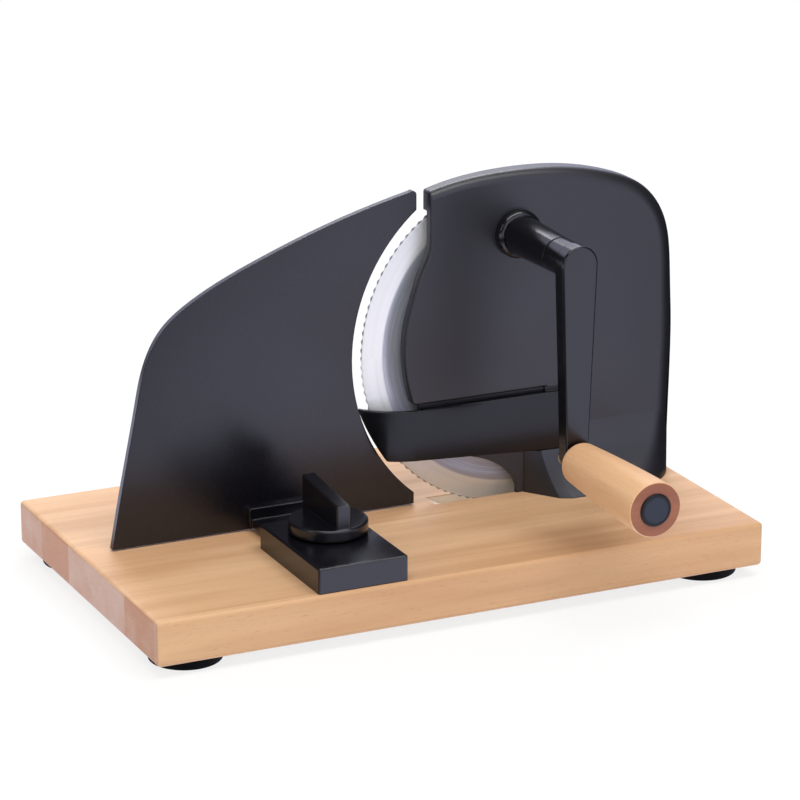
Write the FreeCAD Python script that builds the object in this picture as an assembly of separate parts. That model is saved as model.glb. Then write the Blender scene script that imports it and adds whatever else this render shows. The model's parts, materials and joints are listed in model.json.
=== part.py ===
import FreeCAD, Part
import math
import os

os.makedirs("parts", exist_ok=True)

# Hand crank bread slicer, in millimetres.
# X runs along the board to the right, Y away from the crank's side, Z up.
# The origin is under the middle of the board, on the plane that the feet stand on.

# Base board and feet
board_len = 365.0
board_width = 214.0
board_thick = 25.5
board_round = 2.5
foot_height = 6.8
foot_top_r = 21.0
foot_bottom_r = 20.0
foot_inset = 25.5
foot_bore_depth = 3.6
foot_screw_len = 15.5
board_top = foot_height + board_thick

# Clearances: fixed fits, running fits and sliding fits, all on the radius or the side
fit = 0.05
run_fit = 0.05
slide_fit = 0.3

# Blade, with heights counted from the board's top. The housing ends level with the board's
# right end, and its pocket places the blade. unit keeps the housing's forms in step with the blade.
blade_r = 97.0
unit = blade_r / 97.0
pocket_gap = 1.4
pocket_shift = 1.0
rim_wall = 1.7
hood_right = board_len / 2
pocket_r = blade_r + pocket_gap
pocket_x = hood_right - rim_wall - pocket_r
blade_x = pocket_x + pocket_shift
blade_sink = 7.5
blade_rise = blade_r - blade_sink
blade_z = board_top + blade_rise
blade_back_y = 8.0
blade_thick = 1.6
blade_front_y = blade_back_y - blade_thick
blade_edge_thick = 0.4
blade_bevel = 13.0
scallop_count = 120
scallop_depth = 0.8
blade_bore_r = 10.0

# Gear pair that turns the blade
gear_module = 1.5 * unit
drive_teeth = 40
blade_teeth = 48
gear_width = 4.0
gear_thin = 0.16
gear_spread = 0.05
pressure_angle = math.radians(20.0)
gear_front_y = -0.4
gear_back_y = gear_front_y + gear_width
crank_shift = 5.8 * unit
gear_distance = gear_module * (drive_teeth + blade_teeth) / 2 + gear_spread
drive_tip_r = gear_module * (drive_teeth / 2 + 1)
blade_gear_tip_r = gear_module * (blade_teeth / 2 + 1)
crank_x = blade_x - crank_shift
crank_z = blade_z + math.sqrt(gear_distance ** 2 - crank_shift ** 2)

# Housing shell
wall = 2.6
hood_front_y = -5.0
hood_lip_y = 0.5
hood_back_y = 10.0
hood_inner_y = hood_front_y + wall
roof_gap = 1.4
roof_spare = 5.0
hood_top = max(blade_z + pocket_r, crank_z + drive_tip_r + roof_gap) + wall
hood_bottom_rise = 62.0 * unit
hood_bottom = board_top + hood_bottom_rise
hood_top_left = blade_x - 59.4 * unit
hood_end_y = 5.0
hood_deep_x = blade_x + 41.6 * unit
hood_end_drop = 18.0 * unit
hood_edge_left = blade_x - 75.5 * unit
hood_heel_x = blade_x - 70.9 * unit
lip_round = 1.5
roof_round = 4.5
side_round = 13.0
column_left = blade_x + 13.6 * unit
apron_front_y = -2.5
apron_wall = 1.6
apron_left = blade_x - 65.4 * unit
apron_arch_x = blade_x - 30.0 * unit
apron_arch_rise = 25.4 * unit
foot_left = blade_x - 3.4 * unit
foot_front_y = -25.5
flare_rise = 46.0 * unit
groove_depth = 1.4
ridge_x = column_left - 5.0
ridge_width = 6.8
ridge_side = 4.5
flare_power = 2.2
flare_steps = 5

# Covers at the back of the gears and the column, and the posts that carry them
gear_cover_front_y = gear_back_y + 0.6
gear_cover_thick = 1.2
gear_cover_back_y = gear_cover_front_y + gear_cover_thick
cover_margin = 9.2
post_r = 3.4
rear_posts = [
    (hood_right - 34.5 * unit, 9.0 * unit),
    (hood_right - 11.0 * unit, 22.0 * unit),
    (hood_right - 9.6 * unit, 34.0 * unit),
]
rear_screw_len = 8.0
rear_post_r = 3.2
rear_cover_thick = 1.6
rear_cover_top_rise = 60.0 * unit
column_wall_r = pocket_r + 2.6
boss_r = 5.5

# Blade's axle, its gear's seat and what holds the blade on
axle_boss_r = 16.0
axle_boss_y = -0.8
axle_flange_r = 15.0
axle_flange = 1.5
axle_screw_ring = 10.8
axle_r = 5.0
axle_end_y = blade_back_y + 0.6
hub_bush_r = 8.0
web_front_y = axle_boss_y + axle_flange + 0.6
blade_seat_r = 20.0
blade_spigot_r = blade_bore_r - fit
blade_screw_ring = 15.0
thrust_washer_r = 11.0
retainer_r = 12.5
retainer_height = 3.4

# Deflector across the blade
bar_front_y = -8.0
bar_thick = 3.0
bar_round = 0.7
bar_gap = 0.6
bar_top_rise = 59.6 * unit
bar_right = blade_x + 36.6 * unit
bar_bend_x = blade_x - 69.4 * unit
bar_tip_x = blade_x - 100.4 * unit
bar_tip_y = 5.0
bar_tip_rise = 61.4 * unit
bar_low_rise = 31.5 * unit
bar_low_right_rise = 25.4 * unit
bar_screw_x = blade_x + 24.6 * unit

# Crank sleeve, shaft, arm and handle
collar_r = 13.9
collar_len = 6.0
collar_round = 3.0
sleeve_root_r = 11.5
sleeve_end_r = 10.3
sleeve_end_y = -56.2
spigot_r = 8.8
spigot_end_y = -1.7
bush_r = 7.6
bush_flange_r = 9.0
bush_flange = 1.0
bush_len = 14.0
shaft_r = 6.0
shaft_flat = 1.0
clip_y = gear_back_y - 1.6
clip_thick = 0.9
sleeve_screw_ring = 11.7
end_play = 0.2
hub_r = 10.3
arm_back_y = -71.0
arm_thick = 10.0
arm_front_y = arm_back_y - arm_thick
arm_top_r = 10.9
arm_end_r = 6.6
arm_throw = 111.9
arm_round = 1.2
hub_back_y = sleeve_end_y - bush_flange - end_play
set_screw_y = (hub_back_y + arm_back_y) / 2
set_screw_r = 2.0
handle_z = crank_z - arm_throw
spindle_r = 4.0
spindle_head_r = 6.2
spindle_head = 2.2
spacer_r = 7.0
spacer_thick = 1.2
grip_len = 87.0
grip_near_r = 15.4
grip_far_r = 11.9
grip_full_len = 10.0
grip_bulge = 0.4
grip_far_round = 4.0
grip_near_round = 1.2
grip_cup_r = 9.2
grip_cup_depth = 15.0
cap_stand = 1.0
spacer_back_y = arm_front_y - fit
grip_far_y = spacer_back_y - spacer_thick - end_play
grip_near_y = grip_far_y - grip_len
cup_floor_y = grip_near_y + grip_cup_depth
spindle_tip_y = cup_floor_y - 8.0
nut_r = 6.5
nut_thick = 5.0
handle_washer_r = 8.2

# Stop plate and its slide
plate_front_y = 3.8
plate_thick = 4.0
plate_back_y = plate_front_y + plate_thick
plate_lift = 1.0
plate_gap = 10.5
cut_shift = 3.75
cut_rise = 0.2
cut_x = blade_x + cut_shift
cut_z = blade_z + cut_rise
cut_r = blade_r + plate_gap
plate_right = blade_x - 64.1 * unit
plate_low_right = plate_right - 1.5
plate_foot_left = 17.5 - board_len / 2
plate_top_rise = 184.0
plate_corner = 3.7
slide_travel = 18.0
guide_left = plate_right - 108.8
guide_right = guide_left + 52.5
guide_front_y = -105.0
guide_back_y = -25.0
guide_height = 14.5
guide_round = 1.2
guide_side = 6.0
guide_front_wall = 4.0
flange_thick = 4.0
flange_left = guide_left + 4.5
flange_right = guide_right - 4.0
flange_low = 3.0
flange_high = 14.0
tongue_low = 3.2
tongue_thick = 4.2
flange_front_y = plate_front_y - flange_thick
tongue_left = guide_left + guide_side + slide_fit
tongue_right = guide_right - guide_side - slide_fit
tongue_front_y = guide_front_y + guide_front_wall + slide_travel + 1.0
tongue_z = board_top + tongue_low
roof_z = tongue_z + tongue_thick + slide_fit
knob_x = guide_left + 28.7
knob_y = -53.0
knob_r = 22.0
knob_disc = 7.0
knob_lift = 0.9
fin_half = 4.1
fin_front = 21.0
fin_back = 26.0
fin_front_height = 13.2
fin_back_height = 17.6
fin_drop = 2.0
clamp_r = 4.0
clamp_head_r = 8.0
clamp_head = 2.2
insert_r = 7.0
clamp_washer_r = 10.0
knob_bottom_z = board_top + guide_height + knob_lift
knob_top_z = knob_bottom_z + knob_disc
bolt_top_z = knob_top_z - 1.5

# Slot in the board for the blade, cut by a disc round the blade's axis
slot_r = blade_r + 7.7
slot_front_y = -1.0
slot_back_y = 12.0

# Screws: shank radius, head radius and head height
wood_screw = (2.2, 4.4, 2.6)
machine_screw = (1.5, 2.8, 1.6)
cover_screw = (1.5, 2.5, 1.0)
axle_screw = (1.5, 2.6, 1.1)
blade_screw = (2.0, 3.6, 1.2)
plate_screw = (2.0, 3.8, 1.9)
guide_screw = (1.6, 3.6, 2.2)
bolt = (2.5, 4.8, 3.0)
housing_screw_seat = foot_height + 12.0
housing_screw_tip = board_top + 10.0
guide_screw_seat = foot_height + 10.0
guide_screw_tip = board_top + guide_height - 3.0


def vec(x, y, z):
    return FreeCAD.Vector(x, y, z)


def box(x0, x1, y0, y1, z0, z1):
    return Part.makeBox(x1 - x0, y1 - y0, z1 - z0, vec(x0, y0, z0))


def rod_y(x, z, radius, y0, y1):
    return Part.makeCylinder(radius, y1 - y0, vec(x, y0, z), vec(0, 1, 0))


def rod_z(x, y, radius, z0, z1):
    return Part.makeCylinder(radius, z1 - z0, vec(x, y, z0), vec(0, 0, 1))


def cone_y(x, z, r0, r1, y0, y1):
    return Part.makeCone(r0, r1, y1 - y0, vec(x, y0, z), vec(0, 1, 0))


def cone_z(x, y, r0, r1, z0, z1):
    return Part.makeCone(r0, r1, z1 - z0, vec(x, y, z0), vec(0, 0, 1))


def tube_y(x, z, outer, inner, y0, y1):
    return rod_y(x, z, outer, y0, y1).cut(rod_y(x, z, inner, y0, y1))


def line(a, b):
    return Part.LineSegment(a, b).toShape()


def arc(a, b, c):
    return Part.Arc(a, b, c).toShape()


def curve(points):
    spline = Part.BSplineCurve()
    spline.interpolate(points)
    return spline.toShape()


def prism_y(edges, y0, y1):
    face = Part.Face(Part.Wire(edges))
    face.translate(vec(0, y0, 0))
    return face.extrude(vec(0, y1 - y0, 0))


def fuse(first, others):
    solid = first
    for other in others:
        solid = solid.fuse(other)
    return solid.removeSplitter()


def cut(first, others):
    solid = first
    for other in others:
        solid = solid.cut(other)
    return solid


def edges_where(shape, test):
    return [edge for edge in shape.Edges if test(edge.BoundBox)]


def turned(points_xz):
    """Points of an outline in the plane Y = 0, with heights counted from the board's top."""
    return [vec(x, 0, board_top + rise) for x, rise in points_xz]


def screw_up(x, y, z_head, z_tip, size):
    """A screw driven upwards, with its head's lower face at z_head."""
    shank, head, head_height = size
    body = rod_z(x, y, head, z_head, z_head + head_height)
    body = body.fuse(rod_z(x, y, shank, z_head + head_height, z_tip))
    slot = box(x - head, x + head, y - 0.5, y + 0.5, z_head, z_head + 0.9)
    return body.cut(slot).removeSplitter()


def screw_hole_up(x, y, z_seat, z_tip, size, bottom):
    """The hole for screw_up: a counterbore from bottom to z_seat and a bore up to z_tip."""
    shank, head, _ = size
    hole = rod_z(x, y, head + 0.6, bottom, z_seat)
    return hole.fuse(rod_z(x, y, shank + fit, z_seat, z_tip + 0.5))


def flat_screw_y(x, z, y_head, y_tip, size):
    """A countersunk screw along Y, flush at y_head, with its tip at y_tip in front of it."""
    shank, head, head_height = size
    body = cone_y(x, z, shank, head, y_head - head_height, y_head)
    body = body.fuse(rod_y(x, z, shank, y_tip, y_head - head_height))
    slot = box(x - head, x + head, y_head - 0.7, y_head, z - 0.4, z + 0.4)
    return body.cut(slot).removeSplitter()


def flat_hole_y(x, z, y_head, y_tip, size):
    shank, head, head_height = size
    hole = cone_y(x, z, shank + fit, head + fit, y_head - head_height - fit, y_head)
    return hole.fuse(rod_y(x, z, shank + fit, y_tip - 0.3, y_head - head_height))


# Places of the feet and screws

foot_places = {
    "front_left": (-1, -1),
    "front_right": (1, -1),
    "back_left": (-1, 1),
    "back_right": (1, 1),
}


def foot_centre(side_x, side_y):
    return side_x * (board_len / 2 - foot_inset), side_y * (board_width / 2 - foot_inset)


housing_screw_places = [
    (hood_right - 74.5 * unit, -9.5),
    (hood_right - 40.5 * unit, -9.5),
    (hood_right - 14.5 * unit, 2.0),
]
guide_screw_places = [
    (x, y)
    for x in (guide_left + guide_side / 2, guide_right - guide_side / 2)
    for y in (guide_front_y + 10.0, guide_back_y - 10.0)
]


def base_board():
    half_x = board_len / 2
    half_y = board_width / 2
    board = box(-half_x, half_x, -half_y, half_y, foot_height, board_top)
    board = board.makeFillet(board_round, board.Edges)
    board = board.cut(rod_y(blade_x, blade_z, slot_r, slot_front_y, slot_back_y))
    for sides in foot_places.values():
        x, y = foot_centre(*sides)
        hole_top = foot_height + foot_screw_len + 0.5
        board = board.cut(rod_z(x, y, wood_screw[0] + fit, foot_height - 1, hole_top))
    for x, y in housing_screw_places:
        board = board.cut(screw_hole_up(x, y, housing_screw_seat, board_top + 1, bolt, foot_height - 1))
    for x, y in guide_screw_places:
        board = board.cut(screw_hole_up(x, y, guide_screw_seat, board_top + 1, guide_screw, foot_height - 1))
    return board


def rubber_foot(side_x, side_y):
    x, y = foot_centre(side_x, side_y)
    foot = cone_z(x, y, foot_bottom_r, foot_top_r, 0, foot_height)
    foot = foot.makeFillet(1.5, edges_where(foot, lambda b: b.ZMax < 0.01))
    bore = screw_hole_up(x, y, foot_bore_depth, foot_height, wood_screw, -1)
    return foot.cut(bore)


def foot_screws():
    screws = []
    for sides in foot_places.values():
        x, y = foot_centre(*sides)
        head_z = foot_bore_depth - wood_screw[2]
        screws.append(screw_up(x, y, head_z, foot_height + foot_screw_len, wood_screw))
    return Part.makeCompound(screws)


def housing_screws():
    head_z = housing_screw_seat - bolt[2]
    places = housing_screw_places
    return Part.makeCompound([screw_up(x, y, head_z, housing_screw_tip, bolt) for x, y in places])


def guide_screws():
    head_z = guide_screw_seat - guide_screw[2]
    places = guide_screw_places
    return Part.makeCompound([screw_up(x, y, head_z, guide_screw_tip, guide_screw) for x, y in places])


# Housing shell

def roof_points():
    """The roof and right side as one curve, from the top left corner to the board."""
    span = hood_right - hood_top_left
    tall = hood_top - board_top
    shape = [
        (0.000, 0.965), (0.098, 0.984), (0.230, 0.997), (0.370, 1.000), (0.493, 0.995), (0.622, 0.979),
        (0.752, 0.950), (0.852, 0.911), (0.927, 0.847), (0.967, 0.771), (0.982, 0.695), (0.991, 0.582),
        (0.997, 0.500), (1.000, 0.370), (0.997, 0.000),
    ]
    return turned([(hood_top_left + u * span, v * tall) for u, v in shape])


def left_points():
    """The hood's left edge, from the heel at its lower lip up to the straight stretch below the roof."""
    return turned([
        (hood_heel_x, hood_bottom_rise + 3.0),
        (hood_edge_left + 1.7 * unit, blade_rise - 13.4 * unit),
        (hood_edge_left, blade_rise + 1.0),
        (hood_edge_left + 1.2 * unit, blade_rise + 18.3 * unit),
        (hood_edge_left + 5.7 * unit, blade_rise + 35.2 * unit),
        (hood_edge_left + 11.6 * unit, blade_rise + 51.8 * unit),
        (hood_edge_left + 14.7 * unit, blade_rise + 58.4 * unit),
        (hood_top_left - 0.1, blade_rise + 65.0 * unit),
        (hood_top_left, blade_rise + 70.0 * unit),
    ])


def hood_edges():
    roof = roof_points()
    left = left_points()
    heel = vec(hood_heel_x + 4.0, 0, hood_bottom)
    corner = vec(column_left, 0, hood_bottom)
    toe = vec(column_left, 0, board_top)
    bend = vec(hood_heel_x + 1.0, 0, hood_bottom + 0.9)
    return [
        curve(roof),
        line(roof[-1], toe),
        line(toe, corner),
        line(corner, heel),
        arc(heel, bend, left[0]),
        curve(left),
        line(left[-1], roof[0]),
    ]


def apron_edges():
    arch = turned([
        (apron_arch_x, apron_arch_rise), (foot_left - 10.9 * unit, 18.3 * unit),
        (foot_left - 5.1 * unit, 13.2 * unit), (foot_left - 1.2 * unit, 7.8 * unit), (foot_left + 0.2, 0.0),
    ])
    low = turned([(apron_left + 8.0, apron_arch_rise + 8.0)])[0]
    side = vec(apron_left, 0, low.z + 10.0)
    top_left = vec(apron_left, 0, hood_bottom + 4.0)
    top_right = vec(column_left + 4.0, 0, hood_bottom + 4.0)
    toe = vec(column_left + 4.0, 0, board_top)
    return [
        curve(arch),
        line(arch[-1], toe),
        line(toe, top_right),
        line(top_right, top_left),
        line(top_left, side),
        line(side, low),
        line(low, arch[0]),
    ]


def flare_section(step):
    """One level outline of the foot, a slanted side and a narrow ridge; step 0 lies on the board."""
    level = step / flare_steps
    spread = (1 - level) ** flare_power
    sink = 0.5 * level
    front = hood_front_y + sink - (hood_front_y - foot_front_y) * spread
    right = hood_right - sink
    right_r = side_round + 28.0 * spread
    z = board_top + flare_rise * level
    back = 18.0
    side = vec(foot_left + ridge_side, apron_front_y - 0.6, z)
    ridge_left = vec(ridge_x + 6.0 * spread, front + 3.2 * spread + 0.1, z)
    ridge_right = vec(ridge_x + ridge_width + 6.2 * spread, front, z)
    right_start = vec(right - right_r, front, z)
    right_mid = vec(right - right_r * (1 - math.sqrt(0.5)), front + right_r * (1 - math.sqrt(0.5)), z)
    right_end = vec(right, front + right_r, z)
    rear_right = vec(right, back, z)
    rear_left = vec(foot_left + ridge_side, back, z)
    return Part.Wire([
        line(side, ridge_left),
        line(ridge_left, ridge_right),
        line(ridge_right, right_start),
        arc(right_start, right_mid, right_end),
        line(right_end, rear_right),
        line(rear_right, rear_left),
        line(rear_left, side),
    ])


def cover_posts():
    """Four posts round the two gears that carry the gear cover."""
    places = []
    for x, z, tip_r, angles in (
        (blade_x, blade_z, blade_gear_tip_r, (200, 340)),
        (crank_x, crank_z, drive_tip_r, (20, 160)),
    ):
        for angle in angles:
            reach = tip_r + post_r + 1.6
            turn = math.radians(angle)
            places.append((x + reach * math.cos(turn), z + reach * math.sin(turn)))
    return places


def ring_places(x, z, ring, count, start):
    places = []
    for step in range(count):
        turn = math.radians(start + 360 * step / count)
        places.append((x + ring * math.cos(turn), z + ring * math.sin(turn)))
    return places


axle_screw_places = ring_places(blade_x, blade_z, axle_screw_ring, 3, 90)
sleeve_screw_places = ring_places(crank_x, crank_z, sleeve_screw_ring, 3, 30)
deflector_screw_places = [(bar_screw_x, board_top + rise * unit) for rise in (34.0, 52.0)]


def column_cavity(inner_edges, y0, y1):
    """The space inside the column, right of the blade's pocket."""
    space = prism_y(inner_edges, y0, y1)
    low = board_top + wall
    high = board_top + rear_cover_top_rise
    return space.common(box(column_left + wall, hood_right, y0, y1, low, high))


def inset_edges(edges, inset):
    inner = Part.Face(Part.Wire(edges)).makeOffset2D(-inset).OuterWire
    return inner.toNurbs().Edges


def housing_shell():
    outline = hood_edges()
    shell = prism_y(outline, hood_front_y, hood_back_y)

    def on_front(b):
        return b.YMax < hood_front_y + 0.01

    def is_roof(b):
        return on_front(b) and b.ZMax > hood_top - 1 and b.XLength > 50

    def is_lip(b):
        return on_front(b) and not is_roof(b) and b.ZMax > board_top + 0.01

    shell = shell.makeFillet(roof_round, side_round, edges_where(shell, is_roof))
    shell = shell.makeFillet(lip_round, edges_where(shell, is_lip))
    apron = prism_y(apron_edges(), apron_front_y, hood_lip_y)
    flare = Part.makeLoft([flare_section(step) for step in range(flare_steps + 1)], True, False)
    flare_top = board_top + 60.0
    flare = flare.common(box(foot_left - 5, hood_right, foot_front_y - 5, hood_back_y, board_top, flare_top))
    shell = fuse(shell, [apron, flare])

    seat_low = board_top + bar_low_right_rise - slide_fit
    seat = box(foot_left - 5, bar_right + slide_fit, foot_front_y, hood_front_y, seat_low, hood_bottom)
    groove_low = board_top + bar_top_rise
    groove_back_y = hood_front_y + groove_depth
    groove = box(column_left - 3, bar_right - 2, hood_front_y - 1, groove_back_y, groove_low, hood_bottom)
    shell = cut(shell, [seat, groove])

    inner = inset_edges(outline, wall)
    hollow = prism_y(inner, hood_inner_y, hood_lip_y)
    floor_guard = box(0, hood_right, hood_front_y, hood_back_y, board_top, board_top + wall)
    hollow = hollow.cut(floor_guard)
    pocket = rod_y(pocket_x, blade_z, pocket_r, hood_lip_y, hood_back_y + 1)
    end_low = hood_top - hood_end_drop
    end_cut = box(0, hood_top_left + 8, hood_lip_y, hood_back_y + 1, end_low - 20, end_low)
    deepening = (hood_back_y - hood_end_y) / (hood_deep_x - hood_top_left)
    slope = [vec(0, hood_end_y - deepening * hood_top_left, 0)]
    slope += [vec(hood_deep_x, hood_back_y, 0), vec(0, hood_back_y, 0)]
    roof_cut = Part.Face(Part.Wire([line(a, b) for a, b in zip(slope, slope[1:] + slope[:1])]))
    roof_cut = roof_cut.extrude(vec(0, 0, hood_top + roof_spare))
    gear_room = rod_y(blade_x, blade_z, blade_gear_tip_r + 1.2, apron_front_y + apron_wall, hood_lip_y)
    column = column_cavity(inner, hood_lip_y - 0.5, hood_back_y + 1)
    column = column.cut(rod_y(pocket_x, blade_z, column_wall_r, hood_lip_y, hood_back_y + 1))
    shell = cut(shell, [hollow, pocket, end_cut, roof_cut, gear_room, column])

    posts = [rod_y(x, z, post_r, hood_inner_y - 0.5, gear_cover_front_y) for x, z in cover_posts()]
    posts.append(rod_y(blade_x, blade_z, axle_boss_r, hood_inner_y - 0.5, axle_boss_y))
    rear_cover_y = hood_back_y - rear_cover_thick
    rear_hole_y = hood_back_y - rear_screw_len - 0.6
    for x, rise in rear_posts:
        posts.append(rod_y(x, board_top + rise, rear_post_r, hood_inner_y - 0.5, rear_cover_y))
    x, y = housing_screw_places[2]
    posts.append(rod_z(x, y, boss_r, board_top, board_top + 15.0))
    shell = fuse(shell, posts)

    holes = [rod_y(crank_x, crank_z, spigot_r + fit, hood_front_y - 1, hood_inner_y + 1)]
    for x, z in cover_posts():
        holes.append(rod_y(x, z, machine_screw[0] + fit, hood_inner_y + 0.6, gear_cover_front_y + 1))
    for x, rise in rear_posts:
        holes.append(rod_y(x, board_top + rise, machine_screw[0] + fit, rear_hole_y, hood_back_y))
    for x, z in axle_screw_places:
        holes.append(rod_y(x, z, machine_screw[0] + fit, axle_boss_y - 3.3, axle_boss_y + 1))
    for x, z in sleeve_screw_places:
        holes.append(flat_hole_y(x, z, hood_inner_y, hood_front_y - 1, machine_screw))
    for x, z in deflector_screw_places:
        holes.append(rod_y(x, z, machine_screw[0] + fit, hood_front_y - 1, hood_inner_y + 1))
    for x, y in housing_screw_places:
        holes.append(rod_z(x, y, bolt[0] + fit, board_top - 1, housing_screw_tip + 0.5))
    return cut(shell, holes)


def gear_cover():
    """Plate behind the two gears, in front of the blade."""
    margin = cover_margin
    cover = rod_y(blade_x, blade_z, blade_gear_tip_r + margin, gear_cover_front_y, gear_cover_back_y)
    cover = cover.fuse(rod_y(crank_x, crank_z, drive_tip_r + margin, gear_cover_front_y, gear_cover_back_y))
    left = crank_x - drive_tip_r - margin + 1.5
    right = crank_x + drive_tip_r + margin
    cover = cover.fuse(box(left, right, gear_cover_front_y, gear_cover_back_y, blade_z, crank_z))
    room = rod_y(pocket_x, blade_z, pocket_r - 0.4, gear_cover_front_y - 1, gear_cover_back_y + 1)
    cover = cover.common(room)
    holes = [rod_y(blade_x, blade_z, blade_seat_r + 0.8, gear_cover_front_y - 1, gear_cover_back_y + 1)]
    for x, z in cover_posts():
        holes.append(flat_hole_y(x, z, gear_cover_back_y, gear_cover_front_y - 1, cover_screw))
    return cut(cover, holes).removeSplitter()


def gear_cover_screws():
    tip = hood_inner_y + 1.0
    places = cover_posts()
    return Part.makeCompound([flat_screw_y(x, z, gear_cover_back_y, tip, cover_screw) for x, z in places])


def rear_cover():
    """Plate that closes the column on the bread's side, sunk level with the shell's back edge."""
    front = hood_back_y - rear_cover_thick
    inner = inset_edges(hood_edges(), wall + fit * 2)
    plate = prism_y(inner, front, hood_back_y)
    low = board_top + wall + fit
    high = board_top + rear_cover_top_rise - fit
    plate = plate.common(box(column_left + wall, hood_right, front, hood_back_y, low, high))
    plate = plate.cut(rod_y(pocket_x, blade_z, column_wall_r + fit, front - 1, hood_back_y + 1))
    for x, rise in rear_posts:
        plate = plate.cut(flat_hole_y(x, board_top + rise, hood_back_y, front - 1, cover_screw))
    return plate


def rear_cover_screws():
    tip = hood_back_y - rear_screw_len
    places = [(x, board_top + rise) for x, rise in rear_posts]
    return Part.makeCompound([flat_screw_y(x, z, hood_back_y, tip, cover_screw) for x, z in places])


# Deflector

def slice_deflector():
    bar_back_y = bar_front_y + bar_thick
    run = bar_bend_x - bar_tip_x
    drop = bar_tip_y - bar_front_y
    bend_r = (run ** 2 + drop ** 2) / (2 * drop)
    turn = math.asin(run / bend_r)
    centre_y = bar_front_y + bend_r

    def on_bend(radius, share):
        angle = turn * share
        return vec(bar_bend_x - radius * math.sin(angle), centre_y - radius * math.cos(angle), 0)

    def is_front_rim(b):
        low_line = b.ZMax < board_top + bar_low_rise + 0.1
        on_back = b.YMin > bar_front_y + 0.5 and b.XMin > bar_bend_x - 0.1
        thick_end = b.XLength < bar_thick and b.YLength > bar_thick - 0.5 and b.ZLength < 1
        return not (low_line or on_back or thick_end) and b.XMin < bar_bend_x - 0.1

    inner_r = bend_r - bar_thick
    strip = [
        line(vec(bar_right, bar_front_y, 0), vec(bar_bend_x, bar_front_y, 0)),
        arc(on_bend(bend_r, 0), on_bend(bend_r, 0.5), on_bend(bend_r, 1)),
        line(on_bend(bend_r, 1), on_bend(inner_r, 1)),
        arc(on_bend(inner_r, 1), on_bend(inner_r, 0.5), on_bend(inner_r, 0)),
        line(vec(bar_bend_x, bar_back_y, 0), vec(bar_right, bar_back_y, 0)),
        line(vec(bar_right, bar_back_y, 0), vec(bar_right, bar_front_y, 0)),
    ]
    band = Part.Face(Part.Wire(strip)).extrude(vec(0, 0, hood_bottom))
    side = turned([
        (bar_tip_x + 0.5, bar_tip_rise),
        (bar_bend_x, bar_top_rise),
        (bar_right + 2.0, bar_top_rise),
        (bar_right + 2.0, bar_low_right_rise),
        (column_left, bar_low_right_rise),
        (bar_bend_x - 20.0, bar_low_rise),
    ])
    side_edges = [line(a, b) for a, b in zip(side, side[1:] + side[:1])]
    bar = band.common(prism_y(side_edges, bar_front_y - 5, bar_tip_y + 10))
    bar = bar.common(rod_y(cut_x, cut_z, cut_r - bar_gap, bar_front_y - 5, bar_tip_y + 10))
    bar = bar.makeFillet(bar_round, edges_where(bar, is_front_rim))
    for x, z in deflector_screw_places:
        bar = bar.cut(rod_y(x, z, machine_screw[0] + fit, bar_front_y + 0.7, bar_back_y + 1))
    return bar


def deflector_screws():
    shank, head, head_height = machine_screw
    screws = []
    for x, z in deflector_screw_places:
        body = rod_y(x, z, shank, bar_front_y + 1.0, hood_inner_y)
        body = body.fuse(rod_y(x, z, head, hood_inner_y, hood_inner_y + head_height))
        screws.append(body.removeSplitter())
    return Part.makeCompound(screws)


# Crank sleeve and bushes

def crank_sleeve():
    collar_front_y = hood_front_y - collar_len
    collar = rod_y(crank_x, crank_z, collar_r, collar_front_y, hood_front_y)
    front_rim = edges_where(collar, lambda b: b.YMax < collar_front_y + 0.01)
    collar = collar.makeFillet(collar_round, front_rim)
    cone = cone_y(crank_x, crank_z, sleeve_end_r, sleeve_root_r, sleeve_end_y, collar_front_y + 1.0)
    spigot = rod_y(crank_x, crank_z, spigot_r, hood_front_y, spigot_end_y)
    sleeve = fuse(collar, [cone, spigot])
    holes = [rod_y(crank_x, crank_z, shaft_r + 1.0, sleeve_end_y - 1, spigot_end_y + 1)]
    holes.append(rod_y(crank_x, crank_z, bush_r + fit, spigot_end_y - bush_len, spigot_end_y + 1))
    holes.append(rod_y(crank_x, crank_z, bush_r + fit, sleeve_end_y - 1, sleeve_end_y + bush_len))
    for x, z in sleeve_screw_places:
        holes.append(rod_y(x, z, machine_screw[0] + fit, hood_front_y - 4.8, hood_front_y + 1))
    return cut(sleeve, holes)


def sleeve_screws():
    tip = hood_front_y - 4.5
    places = sleeve_screw_places
    return Part.makeCompound([flat_screw_y(x, z, hood_inner_y, tip, machine_screw) for x, z in places])


def sleeve_bush_rear():
    bush = tube_y(crank_x, crank_z, bush_r, shaft_r + run_fit, spigot_end_y - bush_len, spigot_end_y)
    flange_end = spigot_end_y + bush_flange
    flange = tube_y(crank_x, crank_z, bush_flange_r, shaft_r + run_fit, spigot_end_y, flange_end)
    return fuse(bush, [flange])


def sleeve_bush_front():
    bush = tube_y(crank_x, crank_z, bush_r, shaft_r + run_fit, sleeve_end_y, sleeve_end_y + bush_len)
    flange_end = sleeve_end_y - bush_flange
    flange = tube_y(crank_x, crank_z, bush_flange_r, shaft_r + run_fit, flange_end, sleeve_end_y)
    return fuse(bush, [flange])


# Gears

def tooth_half_angle(radius, teeth):
    """Half the angle that one involute tooth fills at a radius."""
    pitch_r = gear_module * teeth / 2
    base_r = pitch_r * math.cos(pressure_angle)
    at_pitch = math.tan(pressure_angle) - pressure_angle
    lean = math.acos(min(1.0, base_r / radius))
    at_radius = math.tan(lean) - lean
    thickness = math.pi * gear_module / 2 - gear_thin
    return thickness / (2 * pitch_r) + at_pitch - at_radius


mesh_angle = math.atan2(blade_z - crank_z, blade_x - crank_x)


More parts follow.
